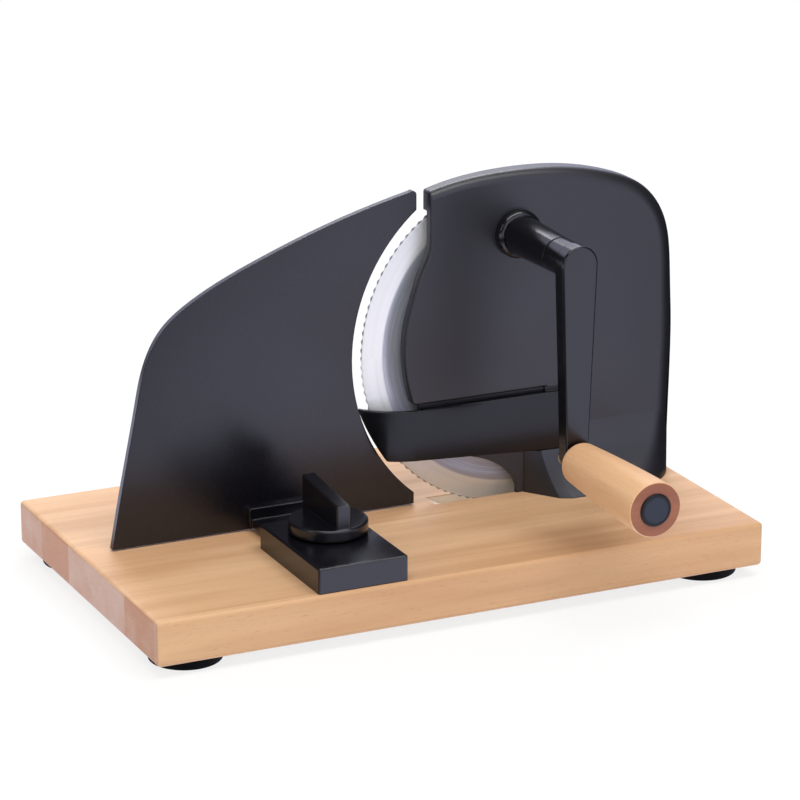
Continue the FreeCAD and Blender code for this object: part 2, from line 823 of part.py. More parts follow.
def gear_disc(x, z, teeth, first_tooth, y0, y1):
    """A spur gear whose first tooth is centred on the angle first_tooth."""
    pitch_r = gear_module * teeth / 2
    root_r = pitch_r - 1.25 * gear_module
    tip_r = pitch_r + gear_module
    mid_r = (root_r + tip_r) / 2
    step = 2 * math.pi / teeth

    def point(radius, angle):
        return vec(x + radius * math.cos(angle), 0, z + radius * math.sin(angle))

    edges = []
    for tooth in range(teeth):
        axis = first_tooth + tooth * step
        root = tooth_half_angle(root_r, teeth)
        mid = tooth_half_angle(mid_r, teeth)
        tip = tooth_half_angle(tip_r, teeth)
        rise = [point(root_r, axis - root), point(mid_r, axis - mid), point(tip_r, axis - tip)]
        fall = [point(tip_r, axis + tip), point(mid_r, axis + mid), point(root_r, axis + root)]
        edges.append(arc(*rise))
        edges.append(arc(rise[2], point(tip_r, axis), fall[0]))
        edges.append(arc(*fall))
        following = point(root_r, axis + step - root)
        edges.append(arc(fall[2], point(root_r, axis + step / 2), following))
    return prism_y(edges, y0, y1)


def shaft_section(radius, y0, y1):
    """A round bar along the crank's axis with one flat on its right side."""
    bar = rod_y(crank_x, crank_z, radius, y0, y1)
    limit = crank_x + shaft_r - shaft_flat + (radius - shaft_r)
    return bar.common(box(crank_x - 20, limit, y0, y1, crank_z - 20, crank_z + 20))


def drive_gear():
    gear = gear_disc(crank_x, crank_z, drive_teeth, mesh_angle, gear_front_y, gear_back_y)
    gear = gear.cut(shaft_section(shaft_r + fit, gear_front_y - 1, gear_back_y + 1))
    return gear.cut(rod_y(crank_x, crank_z, shaft_r + 4.0, clip_y, gear_back_y + 1))


def gear_clip():
    groove_r = shaft_r - 1.0
    ring = tube_y(crank_x, crank_z, shaft_r + 2.6, groove_r + fit, clip_y + fit, clip_y + fit + clip_thick)
    gap = box(crank_x - 2.5, crank_x + 2.5, clip_y, clip_y + 2, crank_z, crank_z + 12)
    return ring.cut(gap)


def crank_shaft():
    tip_y = arm_front_y + 3.6
    shaft = rod_y(crank_x, crank_z, shaft_r, tip_y, gear_back_y)
    keep = box(crank_x - 20, crank_x + shaft_r - shaft_flat, tip_y, gear_back_y, crank_z - 20, crank_z + 20)
    middle = rod_y(crank_x, crank_z, shaft_r, sleeve_end_y - bush_flange, gear_front_y)
    shaft = shaft.common(keep).fuse(middle).removeSplitter()
    groove = tube_y(crank_x, crank_z, shaft_r + 2, shaft_r - 1.0, clip_y, clip_y + clip_thick + 2 * fit)
    return shaft.cut(groove)


# Crank arm

def arm_edges():
    lean = (arm_top_r - arm_end_r) / arm_throw
    across = math.sqrt(1 - lean ** 2)

    def tangent(side, centre_z, radius):
        return vec(crank_x + side * radius * across, 0, centre_z - radius * lean)

    top_left = tangent(-1, crank_z, arm_top_r)
    top_right = tangent(1, crank_z, arm_top_r)
    end_left = tangent(-1, handle_z, arm_end_r)
    end_right = tangent(1, handle_z, arm_end_r)
    return [
        arc(top_left, vec(crank_x, 0, crank_z + arm_top_r), top_right),
        line(top_right, end_right),
        arc(end_right, vec(crank_x, 0, handle_z - arm_end_r), end_left),
        line(end_left, top_left),
    ]


def crank_arm():
    arm = prism_y(arm_edges(), arm_front_y, arm_back_y)
    arm = arm.makeFillet(arm_round, edges_where(arm, lambda b: b.YLength < 0.01))
    hub = rod_y(crank_x, crank_z, hub_r, arm_back_y - 2, hub_back_y)
    arm = fuse(arm, [hub])
    holes = [shaft_section(shaft_r + fit, arm_front_y + 3.4, hub_back_y + 1)]
    holes.append(rod_y(crank_x, handle_z, spindle_r + fit, arm_front_y - 1, arm_back_y + 1))
    middle = vec(crank_x, set_screw_y, crank_z)
    holes.append(Part.makeCylinder(set_screw_r + fit, hub_r, middle, vec(1, 0, 0)))
    return cut(arm, holes)


def arm_set_screw():
    start = crank_x + shaft_r - shaft_flat + fit
    length = hub_r - shaft_r + shaft_flat - 0.4
    screw = Part.makeCylinder(set_screw_r, length, vec(start, set_screw_y, crank_z), vec(1, 0, 0))
    socket_start = vec(start + length - 1.5, set_screw_y, crank_z)
    socket = Part.makeCylinder(set_screw_r / 2, 1.5, socket_start, vec(1, 0, 0))
    return screw.cut(socket)


# Handle

def handle_spindle():
    head = rod_y(crank_x, handle_z, spindle_head_r, arm_back_y + fit, arm_back_y + fit + spindle_head)
    head = head.makeFillet(0.8, edges_where(head, lambda b: b.YMin > arm_back_y + 1))
    shank = rod_y(crank_x, handle_z, spindle_r, spindle_tip_y, arm_back_y + fit)
    return fuse(head, [shank])


def handle_spacer():
    front = spacer_back_y - spacer_thick
    return tube_y(crank_x, handle_z, spacer_r, spindle_r + fit, front, spacer_back_y)


def handle_grip():
    taper_y = grip_near_y + grip_full_len
    middle_y = (taper_y + grip_far_y) / 2
    middle_r = (grip_near_r + grip_far_r) / 2 + grip_bulge

    def at(radius, y):
        return vec(crank_x + radius, y, handle_z)

    profile = [
        line(at(0, grip_near_y), at(grip_near_r, grip_near_y)),
        line(at(grip_near_r, grip_near_y), at(grip_near_r, taper_y)),
        arc(at(grip_near_r, taper_y), at(middle_r, middle_y), at(grip_far_r, grip_far_y)),
        line(at(grip_far_r, grip_far_y), at(0, grip_far_y)),
        line(at(0, grip_far_y), at(0, grip_near_y)),
    ]
    grip = Part.Face(Part.Wire(profile)).revolve(vec(crank_x, 0, handle_z), vec(0, 1, 0), 360)
    grip = grip.makeFillet(grip_far_round, edges_where(grip, lambda b: b.YMin > grip_far_y - 0.01))
    grip = grip.makeFillet(grip_near_round, edges_where(grip, lambda b: b.YMax < grip_near_y + 0.01))
    grip = grip.cut(rod_y(crank_x, handle_z, spindle_r + run_fit, grip_near_y, grip_far_y + 1))
    return grip.cut(rod_y(crank_x, handle_z, grip_cup_r, grip_near_y - 1, cup_floor_y))


def handle_washer():
    back = cup_floor_y - end_play
    return tube_y(crank_x, handle_z, handle_washer_r, spindle_r + fit, back - 1.0, back)


def handle_nut():
    back = cup_floor_y - end_play - 1.0 - fit
    corners = []
    for corner in range(6):
        turn = math.radians(60 * corner)
        corners.append(vec(crank_x + nut_r * math.cos(turn), 0, handle_z + nut_r * math.sin(turn)))
    sides = [line(a, b) for a, b in zip(corners, corners[1:] + corners[:1])]
    nut = prism_y(sides, back - nut_thick, back)
    return nut.cut(rod_y(crank_x, handle_z, spindle_r + fit, back - nut_thick - 1, back + 1))


def handle_end_cap():
    cap_back_y = grip_near_y + 4.5
    cap = rod_y(crank_x, handle_z, grip_cup_r - fit, grip_near_y - cap_stand, cap_back_y)
    cap = cap.makeFillet(0.8, edges_where(cap, lambda b: b.YMax < grip_near_y - cap_stand + 0.01))
    return cap.cut(rod_y(crank_x, handle_z, grip_cup_r - 2.0, grip_near_y + 1.5, cap_back_y + 1))


# Blade, its gear and its axle

blade_screw_places = ring_places(blade_x, blade_z, blade_screw_ring, 3, 90)


def blade_axle():
    flange = rod_y(blade_x, blade_z, axle_flange_r, axle_boss_y + fit, axle_boss_y + axle_flange)
    pin = rod_y(blade_x, blade_z, axle_r, axle_boss_y + fit, axle_end_y)
    axle = fuse(flange, [pin])
    axle = axle.cut(rod_y(blade_x, blade_z, 3.0 + fit, axle_end_y - 7.5, axle_end_y + 1))
    for x, z in axle_screw_places:
        axle = axle.cut(flat_hole_y(x, z, axle_boss_y + axle_flange, axle_boss_y - 1, axle_screw))
    return axle


def axle_screws():
    head_y = axle_boss_y + axle_flange
    tip = axle_boss_y - 3.0
    return Part.makeCompound([flat_screw_y(x, z, head_y, tip, axle_screw) for x, z in axle_screw_places])


def blade_gear():
    first = mesh_angle + math.pi + math.pi / blade_teeth
    gear = gear_disc(blade_x, blade_z, blade_teeth, first, gear_front_y, gear_back_y)
    gear = gear.cut(rod_y(blade_x, blade_z, axle_boss_r + 1.5, gear_front_y - 1, web_front_y))
    seat = rod_y(blade_x, blade_z, blade_seat_r, gear_back_y, blade_front_y - fit)
    spigot = rod_y(blade_x, blade_z, blade_spigot_r, blade_front_y - fit, blade_back_y)
    gear = fuse(gear, [seat, spigot])
    gear = gear.cut(rod_y(blade_x, blade_z, hub_bush_r + fit, web_front_y - 1, blade_back_y + 1))
    for x, z in blade_screw_places:
        gear = gear.cut(rod_y(x, z, blade_screw[0] + fit, gear_back_y - 1.2, blade_front_y + 1))
    return gear


def blade_bush():
    return tube_y(blade_x, blade_z, hub_bush_r, axle_r + run_fit, web_front_y, blade_back_y + 0.1)


def blade():
    profile = [
        (blade_bore_r, blade_front_y),
        (blade_r - blade_bevel, blade_front_y),
        (blade_r, blade_back_y - blade_edge_thick),
        (blade_r, blade_back_y),
        (blade_bore_r, blade_back_y),
    ]
    points = [vec(blade_x + radius, y, blade_z) for radius, y in profile]
    sides = [line(a, b) for a, b in zip(points, points[1:] + points[:1])]
    disc = Part.Face(Part.Wire(sides)).revolve(vec(blade_x, 0, blade_z), vec(0, 1, 0), 360)
    step = 2 * math.pi / scallop_count

    def rim(radius, angle):
        return vec(blade_x + radius * math.cos(angle), 0, blade_z + radius * math.sin(angle))

    waves = []
    for scallop in range(scallop_count):
        start = scallop * step
        low = rim(blade_r - scallop_depth, start + step / 2)
        waves.append(arc(rim(blade_r, start), low, rim(blade_r, start + step)))
    disc = disc.common(prism_y(waves, blade_front_y - 1, blade_back_y + 1))
    for x, z in blade_screw_places:
        disc = disc.cut(flat_hole_y(x, z, blade_back_y, blade_front_y - 1, blade_screw))
    return disc


def blade_screws():
    tip = gear_back_y - 1.0
    places = blade_screw_places
    return Part.makeCompound([flat_screw_y(x, z, blade_back_y, tip, blade_screw) for x, z in places])


def thrust_washer():
    return tube_y(blade_x, blade_z, thrust_washer_r, axle_r + 0.4, blade_back_y + 0.15, axle_end_y - fit)


def blade_retainer():
    """Slotted screw that holds the blade on its axle, turned by a coin from the bread's side."""
    head = rod_y(blade_x, blade_z, retainer_r, axle_end_y, axle_end_y + retainer_height)
    head = head.makeFillet(1.0, edges_where(head, lambda b: b.YMin > axle_end_y + 1))
    stem = rod_y(blade_x, blade_z, 3.0, axle_end_y - 7.0, axle_end_y)
    back = axle_end_y + retainer_height
    slot = box(blade_x - retainer_r, blade_x + retainer_r, back - 1.8, back + 1, blade_z - 1.1, blade_z + 1.1)
    return fuse(head, [stem]).cut(slot)


# Stop plate and its slide

plate_screw_rise = (flange_low + flange_high) / 2
plate_screw_places = [(flange_left + step, board_top + plate_screw_rise) for step in (8.0, 22.0, 36.0)]


def stop_plate():
    foot_z = board_top + plate_lift
    width = plate_right - plate_foot_left
    left = turned([
        (plate_foot_left + across * width, up * plate_top_rise)
        for across, up in (
            (0.0, plate_lift / plate_top_rise), (0.0353, 0.190), (0.0852, 0.429), (0.1139, 0.552),
            (0.1763, 0.667), (0.2637, 0.736), (0.4889, 0.8435), (0.7493, 0.9364),
            (1.0 - plate_corner / width, 0.998),
        )
    ])
    upper = cut_z + math.sqrt(cut_r ** 2 - (cut_x - plate_right) ** 2)
    lower = cut_z - math.sqrt(cut_r ** 2 - (cut_x - plate_low_right) ** 2)
    corner_top = vec(plate_right, 0, board_top + plate_top_rise - 2.5)
    corner_mid = vec(plate_right - 0.7, 0, board_top + plate_top_rise - 0.6)
    top_right = vec(plate_right, 0, upper)
    low_right = vec(plate_low_right, 0, lower)
    foot_right = vec(plate_low_right, 0, foot_z)
    edges = [
        curve(left),
        arc(left[-1], corner_mid, corner_top),
        line(corner_top, top_right),
        arc(top_right, vec(cut_x - cut_r, 0, cut_z), low_right),
        line(low_right, foot_right),
        line(foot_right, left[0]),
    ]
    plate = prism_y(edges, plate_front_y, plate_back_y)
    for x, z in plate_screw_places:
        plate = plate.cut(flat_hole_y(x, z, plate_back_y, plate_front_y - 1, plate_screw))
    return plate


def plate_screws():
    tip = plate_front_y - flange_thick + 0.6
    places = plate_screw_places
    return Part.makeCompound([flat_screw_y(x, z, plate_back_y, tip, plate_screw) for x, z in places])


def slide_bracket():
    flange_z = (board_top + flange_low, board_top + flange_high)
    flange = box(flange_left, flange_right, flange_front_y, plate_front_y, *flange_z)
    flange = flange.makeFillet(1.5, edges_where(flange, lambda b: b.YLength > 1))
    tongue_top = tongue_z + tongue_thick
    tongue = box(tongue_left, tongue_right, tongue_front_y, flange_front_y + 1, tongue_z, tongue_top)
    bracket = fuse(flange, [tongue])
    half = clamp_r + 0.3
    slot = box(knob_x - half, knob_x + half, knob_y, knob_y + slide_travel, tongue_z - 1, roof_z)
    for y in (knob_y, knob_y + slide_travel):
        slot = slot.fuse(rod_z(knob_x, y, half, tongue_z - 1, roof_z))
    bracket = bracket.cut(slot)
    for x, z in plate_screw_places:
        bracket = bracket.cut(rod_y(x, z, plate_screw[0] + fit, flange_front_y + 0.4, plate_front_y + 1))
    return bracket


def guide_block():
    top = board_top + guide_height
    block = box(guide_left, guide_right, guide_front_y, guide_back_y, board_top, top)
    block = block.makeFillet(guide_round, edges_where(block, lambda b: b.ZMax > board_top + 0.01))
    left = guide_left + guide_side
    right = guide_right - guide_side
    front = guide_front_y + guide_front_wall
    channel = box(left, right, front, guide_back_y + 1, board_top - 1, roof_z)
    block = block.cut(channel).cut(rod_z(knob_x, knob_y, clamp_r + fit, roof_z - 1, top + 1))
    for x, y in guide_screw_places:
        block = block.cut(rod_z(x, y, guide_screw[0] + fit, board_top - 1, guide_screw_tip + 0.5))
    return block


def clamp_bolt():
    head_z = tongue_z - clamp_head - 0.2
    head = rod_z(knob_x, knob_y, clamp_head_r, head_z, head_z + clamp_head)
    neck = rod_z(knob_x, knob_y, clamp_r - fit, head_z + clamp_head, bolt_top_z)
    return fuse(head, [neck])


def clamp_washer():
    low = board_top + guide_height + fit
    washer = rod_z(knob_x, knob_y, clamp_washer_r, low, knob_bottom_z - fit)
    return washer.cut(rod_z(knob_x, knob_y, clamp_r + fit, low - 1, knob_bottom_z + 1))


def fin():
    """The knob's wing, higher at its back end."""
    front = knob_y - fin_front
    back = knob_y + fin_back
    sides = [
        (front, knob_top_z - 1.0), (front, knob_top_z + fin_front_height),
        (back, knob_top_z + fin_back_height), (back, knob_top_z - fin_drop),
        (knob_y + 14.0, knob_top_z - fin_drop), (knob_y + 12.0, knob_top_z - 1.0),
    ]
    points = [vec(knob_x - fin_half, y, z) for y, z in sides]
    edges = [line(a, b) for a, b in zip(points, points[1:] + points[:1])]
    wing = Part.Face(Part.Wire(edges)).extrude(vec(2 * fin_half, 0, 0))
    return wing.makeFillet(1.0, edges_where(wing, lambda b: b.ZMax > knob_top_z + 5 and b.XLength < 0.01))


def clamp_knob():
    disc = rod_z(knob_x, knob_y, knob_r, knob_bottom_z, knob_top_z)
    disc = disc.makeFillet(1.2, edges_where(disc, lambda b: b.XLength > 10 and b.ZLength < 0.01))
    knob = fuse(disc, [fin()])
    return knob.cut(rod_z(knob_x, knob_y, insert_r + fit, knob_bottom_z - 1, knob_top_z - 1.0))


def knob_insert():
    body = rod_z(knob_x, knob_y, insert_r, knob_bottom_z, knob_top_z - 1.0 - fit)
    return body.cut(rod_z(knob_x, knob_y, clamp_r, knob_bottom_z - 1, knob_top_z))


# Every node of the slicer

nodes = {
    "base_board": base_board,
    "foot_screws": foot_screws,
    "housing_screws": housing_screws,
    "guide_screws": guide_screws,
    "housing_shell": housing_shell,
    "gear_cover": gear_cover,
    "gear_cover_screws": gear_cover_screws,
    "rear_cover": rear_cover,
    "rear_cover_screws": rear_cover_screws,
    "slice_deflector": slice_deflector,
    "deflector_screws": deflector_screws,
    "crank_sleeve": crank_sleeve,
    "sleeve_screws": sleeve_screws,
    "sleeve_bush_front": sleeve_bush_front,
    "sleeve_bush_rear": sleeve_bush_rear,
    "drive_gear": drive_gear,
    "gear_clip": gear_clip,
    "crank_shaft": crank_shaft,
    "crank_arm": crank_arm,
    "arm_set_screw": arm_set_screw,
    "handle_spindle": handle_spindle,
    "handle_spacer": handle_spacer,
    "handle_grip": handle_grip,
    "handle_washer": handle_washer,
    "handle_nut": handle_nut,
    "handle_end_cap": handle_end_cap,
    "blade_axle": blade_axle,
    "axle_screws": axle_screws,
    "blade_gear": blade_gear,
    "blade_bush": blade_bush,
    "blade": blade,
    "blade_screws": blade_screws,
    "thrust_washer": thrust_washer,
    "blade_retainer": blade_retainer,
    "stop_plate": stop_plate,
    "plate_screws": plate_screws,
    "slide_bracket": slide_bracket,
    "guide_block": guide_block,
    "clamp_bolt": clamp_bolt,
    "clamp_washer": clamp_washer,
    "clamp_knob": clamp_knob,
    "knob_insert": knob_insert,
}

for name, sides in foot_places.items():
    rubber_foot(*sides).exportStep(f"parts/rubber_foot_{name}.step")

for name, make in nodes.items():
    make().exportStep(f"parts/{name}.step")
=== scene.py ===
import json
import math

import bmesh
import bpy
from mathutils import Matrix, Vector


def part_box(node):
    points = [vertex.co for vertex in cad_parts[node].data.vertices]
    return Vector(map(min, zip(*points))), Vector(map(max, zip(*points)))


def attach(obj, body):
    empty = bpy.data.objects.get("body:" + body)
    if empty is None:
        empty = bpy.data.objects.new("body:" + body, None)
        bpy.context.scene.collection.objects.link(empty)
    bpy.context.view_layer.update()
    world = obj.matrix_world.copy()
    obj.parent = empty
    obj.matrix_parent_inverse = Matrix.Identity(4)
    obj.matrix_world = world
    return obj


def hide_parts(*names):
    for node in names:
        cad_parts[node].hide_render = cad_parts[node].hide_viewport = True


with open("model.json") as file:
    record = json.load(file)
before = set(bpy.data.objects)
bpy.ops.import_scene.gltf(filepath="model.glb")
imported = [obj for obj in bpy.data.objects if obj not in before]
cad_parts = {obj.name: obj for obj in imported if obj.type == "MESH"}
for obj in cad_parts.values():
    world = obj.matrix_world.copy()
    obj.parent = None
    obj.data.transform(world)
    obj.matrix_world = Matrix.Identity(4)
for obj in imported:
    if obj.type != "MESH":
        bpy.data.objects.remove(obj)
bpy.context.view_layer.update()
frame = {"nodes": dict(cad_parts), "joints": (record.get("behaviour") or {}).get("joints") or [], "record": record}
nodes = frame["nodes"]

# Sizes from the frame, in metres. The origin is under the board's middle; +Y is the bread's side.
JOINTS = {joint["name"]: joint for joint in frame["joints"]}
BLADE_AXIS = Vector(JOINTS["blade_spin"]["pos_m"])
GRIP_AXIS = Vector(JOINTS["grip_spin"]["pos_m"])
BOARD_LOW, BOARD_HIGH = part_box("base_board")
BOARD_TOP = BOARD_HIGH.z
BLADE_LOW, BLADE_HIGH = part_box("blade")
BLADE_RADIUS = (BLADE_HIGH.x - BLADE_LOW.x) / 2
CAP_LOW, CAP_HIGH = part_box("handle_end_cap")
CAP_RADIUS = (CAP_HIGH.x - CAP_LOW.x) / 2

# The blade's form; the turned ring is sunk into the front between its outer and inner place, both
# measured from the rim as the bevel is
TOOTH_COUNT = 120
TOOTH_DEPTH = 0.0008
TOOTH_STEPS = 10
BEVEL = 0.013
RING_OUTER = 0.017
RING_INNER = 0.029
RING_DEPTH = 0.00012
BORE = 0.010

# The camera that the photo was solved for
FOCAL_LENGTH = 163.8
EYE_PLACE = (-0.82036, -1.75988, 0.69098 + BOARD_TOP)
EYE_DOWN = 17.84
EYE_TURN = 25.19

# The studio as reflections see it: its tint, its brightness where it is lit, and where it is dark
WHITE = (1.0, 1.0, 1.0, 1.0)
COOL = (0.91, 0.92, 1.18, 1.0)
GLARE = 1.6
SKY_DIM = 0.4
SKY_FLAG = 0.06
FLOOR_FLAG = 0.05

# The height of the fine texture on mouldings and enamel
SPECK_HEIGHT = 0.00002


def srgb(red, green, blue):
    """A colour read as 0 to 255 display values, as the linear colour that a shader takes."""
    def linear(value):
        share = value / 255
        if share <= 0.04045:
            return share / 12.92
        return ((share + 0.055) / 1.055) ** 2.4
    return (linear(red), linear(green), linear(blue), 1.0)


class Shader:
    """Builds a material's nodes; each method returns an output socket."""

    def __init__(self, name):
        self.material = bpy.data.materials.new(name)
        self.material.use_nodes = True
        self.tree = self.material.node_tree
        self.tree.nodes.clear()
        self.output = self.tree.nodes.new("ShaderNodeOutputMaterial")
        self.place = self.add("TexCoord").outputs["Object"]

    def add(self, kind, inputs=(), **settings):
        node = self.tree.nodes.new("ShaderNode" + kind)
        for key, value in settings.items():
            setattr(node, key, value)
        for key, value in dict(inputs).items():
            self.put(node.inputs[key], value)
        return node

    def put(self, socket, value):
        if isinstance(value, bpy.types.NodeSocket):
            self.tree.links.new(value, socket)
        else:
            socket.default_value = value

    def math(self, operation, first, second=0.0, third=0.0):
        return self.add("Math", {0: first, 1: second, 2: third}, operation=operation).outputs[0]

    def scaled(self, x, y, z, source=None):
        inputs = {"Vector": source or self.place, "Scale": (x, y, z)}
        return self.add("Mapping", inputs).outputs[0]

    def noise(self, vector, scale=1.0, detail=2.0, roughness=0.5, distortion=0.0):
        inputs = {"Vector": vector, "Scale": scale, "Detail": detail}
        inputs.update({"Roughness": roughness, "Distortion": distortion})
        return self.add("TexNoise", inputs).outputs["Fac"]

    def lot(self, number):
        """A value from 0 to 1 that belongs to a whole number."""
        return self.add("TexWhiteNoise", {"W": number}, noise_dimensions="1D").outputs["Value"]

    def fit(self, value, low, high, to_low=0.0, to_high=1.0, kind="LINEAR"):
        inputs = {"Value": value, "From Min": low, "From Max": high, "To Min": to_low, "To Max": to_high}
        return self.add("MapRange", inputs, interpolation_type=kind).outputs[0]

    def mix(self, share, first, second, blend="MIX"):
        node = self.add("Mix", data_type="RGBA", blend_type=blend)
        self.put(node.inputs[0], share)
        self.put(node.inputs[6], first)
        self.put(node.inputs[7], second)
        return node.outputs[2]

    def shade(self, colour, share, reach):
        """The colour, darker and lighter by up to reach as share runs from 0 to 1."""
        level = self.fit(share, 0.0, 1.0, 1.0 - reach, 1.0 + reach)
        grey = self.add("CombineColor", {0: level, 1: level, 2: level}).outputs[0]
        return self.mix(1.0, colour, grey, "MULTIPLY")

    def axes(self, source=None):
        return self.add("SeparateXYZ", {0: source or self.place}).outputs

    def round_y(self, centre):
        """The place across and above an axis along Y, and the distance from it."""
        x, _, z = self.axes()
        across = self.math("SUBTRACT", x, centre.x)
        up = self.math("SUBTRACT", z, centre.z)
        squares = self.math("ADD", self.math("MULTIPLY", across, across), self.math("MULTIPLY", up, up))
        return across, up, self.math("SQRT", squares)

    def bump(self, height, distance, strength=1.0, edge=0.0):
        """Relief in the shading; edge is the radius that sharp edges seem to have."""
        inputs = {"Height": height, "Distance": distance, "Strength": strength}
        if edge:
            inputs["Normal"] = self.add("Bevel", {"Radius": edge}, samples=6).outputs[0]
        return self.add("Bump", inputs).outputs[0]

    def show(self, surface):
        self.put(self.output.inputs["Surface"], surface.outputs[0])

    def finish(self, inputs):
        self.show(self.add("BsdfPrincipled", inputs))
        return self.material


class Sky(Shader):
    """The same helpers for the nodes of the world."""

    def __init__(self, name):
        world = bpy.data.worlds.new(name)
        world.use_nodes = True
        bpy.context.scene.world = world
        self.tree = world.node_tree
        self.tree.nodes.clear()
        self.output = self.tree.nodes.new("ShaderNodeOutputWorld")
        self.place = self.add("TexCoord").outputs["Generated"]


# Materials

def beech(name, grain, face, dark, ends, stave, rough, painted_light_inside=None):
    """Beech with its grain along one axis; ends are the two colours of the end grain, and the pale
    colour given last is painted light, laid on the underside and on the walls of the blade's slot to lift their
    shade."""
    shader = Shader(name)
    x, y, z = shader.axes()
    along, across = (x, y) if grain == "X" else (y, x)
    lane = shader.math("FLOOR", shader.math("MULTIPLY_ADD", across, 1.0 / stave, 0.37))
    lot = shader.lot(lane)
    shift = shader.math("MULTIPLY", lot, 3.7)
    moved = shader.math("ADD", along, shift)
    if grain == "X":
        line = shader.add("CombineXYZ", {0: moved, 1: y, 2: z}).outputs[0]
        stretch = (1.0, 14.0, 14.0)
        facing = 0
    else:
        line = shader.add("CombineXYZ", {0: x, 1: moved, 2: z}).outputs[0]
        stretch = (14.0, 1.0, 14.0)
        facing = 1
    wide = shader.noise(shader.scaled(*stretch, line), 4.0, 3.0, 0.55, 0.3)
    rings = shader.noise(shader.scaled(*[s * 1.7 for s in stretch], line), 9.0, 4.0, 0.6, 0.6)
    fine = shader.noise(shader.scaled(*[s * s for s in stretch], line), 6.0, 3.0, 0.6)
    ray = shader.noise(shader.scaled(*[s ** 0.85 for s in stretch], line), 190.0, 1.0, 0.5)
    fleck = shader.fit(ray, 0.66, 0.76)
    colour = shader.mix(shader.fit(wide, 0.3, 0.75), face, dark)
    colour = shader.shade(colour, rings, 0.07)
    colour = shader.shade(colour, fine, 0.09)
    colour = shader.shade(colour, lot, 0.025)
    colour = shader.mix(shader.math("MULTIPLY", fleck, 0.28), colour, srgb(150, 98, 62))
    normal = shader.axes(shader.add("TexCoord").outputs["Normal"])[facing]
    end = shader.fit(shader.math("ABSOLUTE", normal), 0.72, 0.9)
    cut = shader.scaled(8.0, 26.0, 26.0, line)
    pores = shader.noise(shader.scaled(60.0, 700.0, 700.0), 1.0, 2.0, 0.6)
    lot_end = shader.fit(shader.lot(shader.math("ADD", lane, 3.0)), 0.0, 1.0, -0.25, 0.25)
    end_mix = shader.math("ADD", shader.noise(cut, 1.4, 3.0, 0.55, 0.4), lot_end)
    end_colour = shader.mix(shader.fit(end_mix, 0.3, 0.75), ends[0], ends[1])
    bands = shader.noise(shader.scaled(10.0, 90.0, 320.0, line), 1.0, 2.0, 0.5, 1.2)
    end_colour = shader.shade(end_colour, bands, 0.09)
    end_colour = shader.shade(end_colour, pores, 0.10)
    colour = shader.mix(end, colour, end_colour)
    # Painted light: a pale colour on the underside and the slot's walls lifts the shade in the slot.
    if painted_light_inside:
        half = (BOARD_HIGH - BOARD_LOW) / 2
        rounded = 0.004
        soft = rounded + 0.001
        wide_in = shader.fit(shader.math("ABSOLUTE", x), half.x - soft, half.x - rounded, 1.0, 0.0)
        deep_in = shader.fit(shader.math("ABSOLUTE", y), half.y - soft, half.y - rounded, 1.0, 0.0)
        below = shader.fit(z, BOARD_TOP - 0.0008, BOARD_TOP - 0.0003, 1.0, 0.0)
        light_inside_mask = shader.math("MULTIPLY", shader.math("MULTIPLY", wide_in, deep_in), below)
        colour = shader.mix(light_inside_mask, colour, shader.shade(painted_light_inside, fine, 0.06))
    roughness = shader.fit(fine, 0.2, 0.8, rough - 0.05, rough + 0.08)
    relief = shader.math("ADD", fine, shader.math("MULTIPLY", pores, end))
    return shader.finish({
        "Base Color": colour,
        "Roughness": roughness,
        "Normal": shader.bump(relief, 0.00006, 0.6),
        "Specular IOR Level": 0.35,
    })


def coated(name, colour, rough, grain=2600.0, gloss=0.5, edge=0.0007):
    """Moulding or enamel with a fine even texture; gloss is the level of its reflections."""
    shader = Shader(name)
    speck = shader.noise(shader.place, grain, 3.0, 0.6)
    cloud = shader.noise(shader.place, 22.0, 3.0, 0.5)
    tint = shader.shade(shader.shade(colour, cloud, 0.10), speck, 0.12)
    roughness = shader.math("ADD", shader.fit(cloud, 0.2, 0.8, rough - 0.03, rough + 0.03),
                            shader.fit(speck, 0.3, 0.7, -0.02, 0.04))
    return shader.finish({
        "Base Color": tint,
        "Roughness": roughness,
        "Specular IOR Level": gloss,
        "Normal": shader.bump(speck, SPECK_HEIGHT, 0.5, edge),
    })


def metal(name, colour, rough, grain):
    """Bare metal with a fine even texture."""
    shader = Shader(name)
    speck = shader.noise(shader.place, grain, 3.0, 0.6)
    cloud = shader.noise(shader.place, 60.0, 2.0, 0.5)
    tint = shader.shade(shader.shade(colour, cloud, 0.06), speck, 0.05)
    return shader.finish({
        "Base Color": tint,
        "Metallic": 1.0,
        "Roughness": shader.fit(speck, 0.2, 0.8, rough - 0.06, rough + 0.06),
        "Normal": shader.bump(speck, 0.00001, 0.4),
    })


